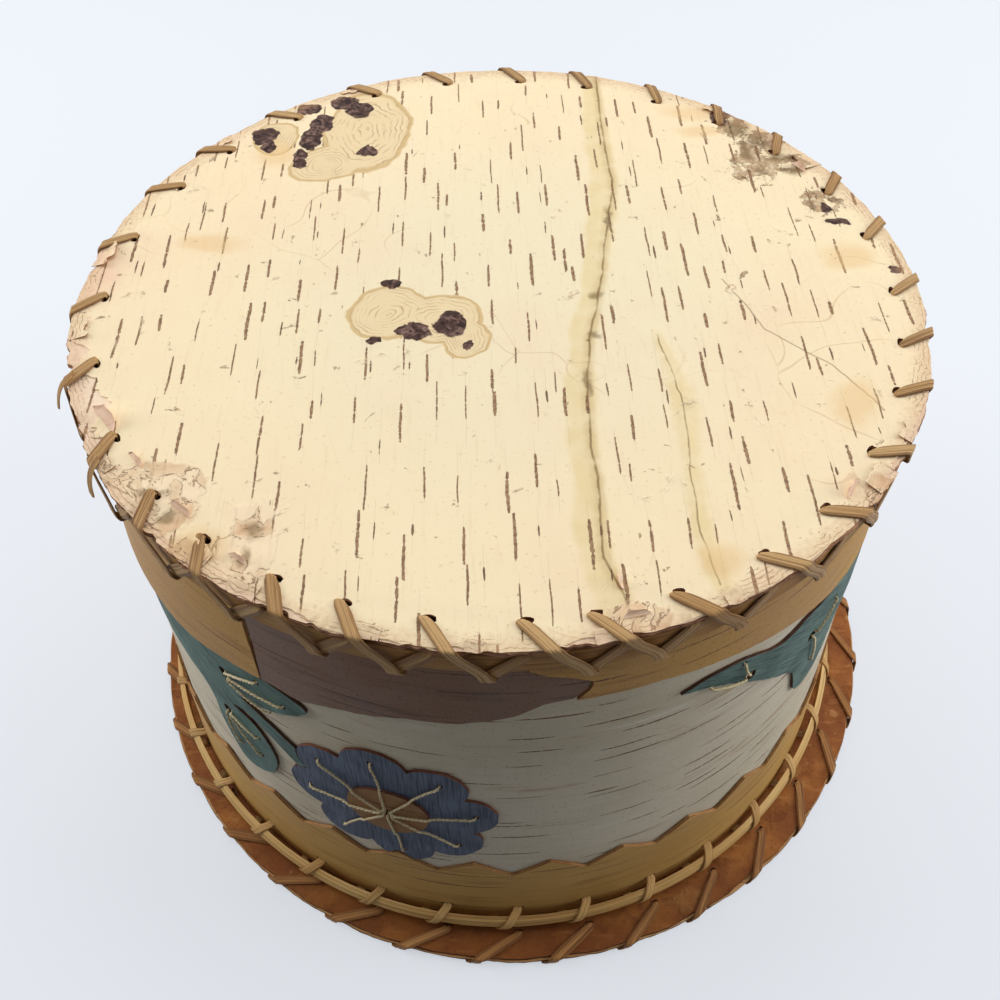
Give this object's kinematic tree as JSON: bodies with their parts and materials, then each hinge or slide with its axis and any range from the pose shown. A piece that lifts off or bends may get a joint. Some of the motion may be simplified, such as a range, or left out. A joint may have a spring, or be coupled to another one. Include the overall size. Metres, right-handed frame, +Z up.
{
  "type": "birch bark box",
  "caption": "Round sewn birch bark box with wood hoops, bark bands and cut bark flowers, standing upside down on its wide flat lid.",
  "frame": {"origin": "middle of the lid's outer face, on the table that the box stands on", "axes": "+Z up, from the lid on the table to the base on top; -Y faces the viewer of the picture, +X to the viewer's right"},
  "size_m": [0.3402, 0.3394, 0.2092],
  "materials": {
    "birch": "matt outer birch bark, cream with dark lenticels",
    "inner_bark": "satin inner birch bark, red brown",
    "gold_bark": "matt scraped bark, golden tan",
    "rind": "matt dark bark, pink brown",
    "split_wood": "bare split wood",
    "root": "split root, bare, lengthwise grain",
    "leaf_dye": "bark dyed teal, matt",
    "petal_dye": "bark dyed blue grey, matt",
    "sinew": "twisted cream thread"
  },
  "bodies": {
    "lid": {"lid_outer_disc": "birch", "lid_inner_disc": "inner_bark", "lid_edge_lacing": "root", "lid_ring": "gold_bark", "lid_ring_lacing": "root"},
    "box": {"wall": "birch", "wall_seam_lacing": "root", "base_disc": "birch", "base_hoop": "split_wood", "base_lacing": "root", "base_lacing_returns": "root", "base_collar_light": "gold_bark", "base_collar_dark": "rind", "mouth_collar": "gold_bark", "mouth_hoop_outer": "split_wood", "mouth_hoop_inner": "split_wood", "mouth_lashing": "root", "front_flower_petals": "petal_dye", "front_flower_centre": "inner_bark", "front_flower_threads": "sinew", "front_spray": "leaf_dye", "front_spray_threads": "sinew", "side_flower_petals": "petal_dye", "side_flower_centre": "inner_bark", "side_flower_threads": "sinew", "side_spray": "leaf_dye", "side_spray_threads": "sinew"}
  },
  "joints": [
    {"name": "box_lift", "type": "slide", "parent": "lid", "child": "box", "axis": [0, 0, 1], "range_m": [0, 0.25]}
  ]
}
